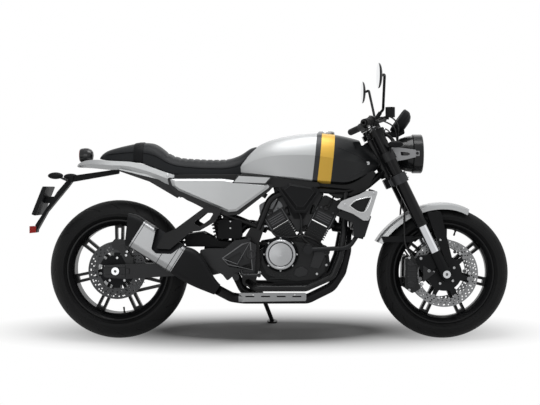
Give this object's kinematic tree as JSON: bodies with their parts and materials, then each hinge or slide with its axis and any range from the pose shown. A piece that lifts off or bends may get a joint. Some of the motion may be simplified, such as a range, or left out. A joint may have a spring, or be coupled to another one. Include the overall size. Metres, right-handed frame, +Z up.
{
  "type": "motorcycle",
  "caption": "Cafe racer motorcycle with a V-twin engine, round headlamp, striped tank, humped seat and short silencer, leaning on its side stand.",
  "frame": {"origin": "on the ground, under the middle of the bounding box of the motorcycle as it stands on its side stand", "axes": "+X forward along the motorcycle, +Y to the rider's left, the side it leans to, +Z up"},
  "size_m": [2.1835, 0.9366, 1.2651],
  "materials": {
    "tyre_rubber": "matte black rubber",
    "black_alloy": "satin black paint on cast alloy",
    "disc_steel": "ground steel",
    "chain_steel": "oiled steel",
    "frame_paint": "satin black",
    "arm_alloy": "satin black alloy",
    "bright_steel": "bright steel",
    "black_gloss": "gloss black anodised",
    "fork_metal": "hard chromed slider and black foot",
    "silver_paint": "silver grey lacquer",
    "dark_plastic": "fine grained black",
    "caliper_alloy": "black anodised",
    "grip_rubber": "ribbed black rubber",
    "dark_gloss": "gloss black",
    "lens_clear": "clear lens",
    "silver_alloy": "satin silver alloy",
    "engine_iron": "dark cast surface",
    "engine_alloy": "dark cast alloy",
    "dark_alloy": "black fins",
    "exhaust_steel": "heat dulled steel",
    "silencer_steel": "brushed stainless steel",
    "seat_cover": "charcoal synthetic leather"
  },
  "bodies": {
    "chassis": {"chain": "chain_steel", "frame": "frame_paint", "subframe": "frame_paint", "swingarm": "arm_alloy", "tyre_guard": "dark_plastic", "rear_axle": "bright_steel", "crankcase": "engine_iron", "cylinders": "engine_alloy", "engine_covers": "engine_alloy", "airbox_covers": "dark_plastic", "radiator": "dark_alloy", "water_pipe": "dark_alloy", "radiator_shrouds": "silver_alloy", "exhaust_pipes": "exhaust_steel", "silencer": "silencer_steel", "silencer_caps": "dark_plastic", "fuel_tank": "silver_paint", "fuel_cap": "silver_alloy", "seat": "seat_cover", "tail_cowl": "silver_paint", "side_panels": "silver_paint", "footrest_sets": "arm_alloy", "side_boxes": "dark_plastic", "rear_shock": "black_gloss", "tail_lamp": "dark_gloss", "plate_holder": "dark_plastic", "rear_indicators": "dark_plastic", "rear_caliper": "caliper_alloy"},
    "steering": {"top_yoke": "black_alloy", "bottom_yoke": "black_alloy", "fork_tubes": "black_gloss", "fork_legs": "fork_metal", "front_axle": "bright_steel", "front_mudguard": "silver_paint", "mudguard_stays": "dark_plastic", "front_calipers": "caliper_alloy", "handlebar": "frame_paint", "grips": "grip_rubber", "hand_controls": "dark_plastic", "mirrors": "dark_plastic", "headlamp": "dark_gloss", "headlamp_lens": "lens_clear", "headlamp_bracket": "silver_alloy", "instrument": "dark_plastic", "front_indicators": "dark_plastic"},
    "front_wheel": {"front_rim": "black_alloy", "front_tyre": "tyre_rubber", "front_discs": "disc_steel"},
    "rear_wheel": {"rear_rim": "black_alloy", "rear_tyre": "tyre_rubber", "rear_disc": "disc_steel", "rear_sprocket": "disc_steel"},
    "side_stand": {"side_stand": "frame_paint"}
  },
  "joints": [
    {"name": "steering_turn", "type": "hinge", "parent": "chassis", "child": "steering", "pos_m": [0.49997, -0.05778, 0.81415], "axis": [-0.4384, 0.1561, 0.8851], "range_deg": [-33, 33]},
    {"name": "front_wheel_spin", "type": "hinge", "parent": "steering", "child": "front_wheel", "pos_m": [0.79175, -0.14899, 0.29689], "axis": [0, 0.9848, -0.1736], "continuous": true},
    {"name": "rear_wheel_spin", "type": "hinge", "parent": "chassis", "child": "rear_wheel", "pos_m": [-0.68325, -0.14639, 0.31166], "axis": [0, 0.9848, -0.1736], "continuous": true},
    {"name": "side_stand_fold", "type": "hinge", "parent": "chassis", "child": "side_stand", "pos_m": [-0.04575, -0.00079, 0.1814], "axis": [0, 0.9681, 0.2504], "range_deg": [0, 105]}
  ]
}
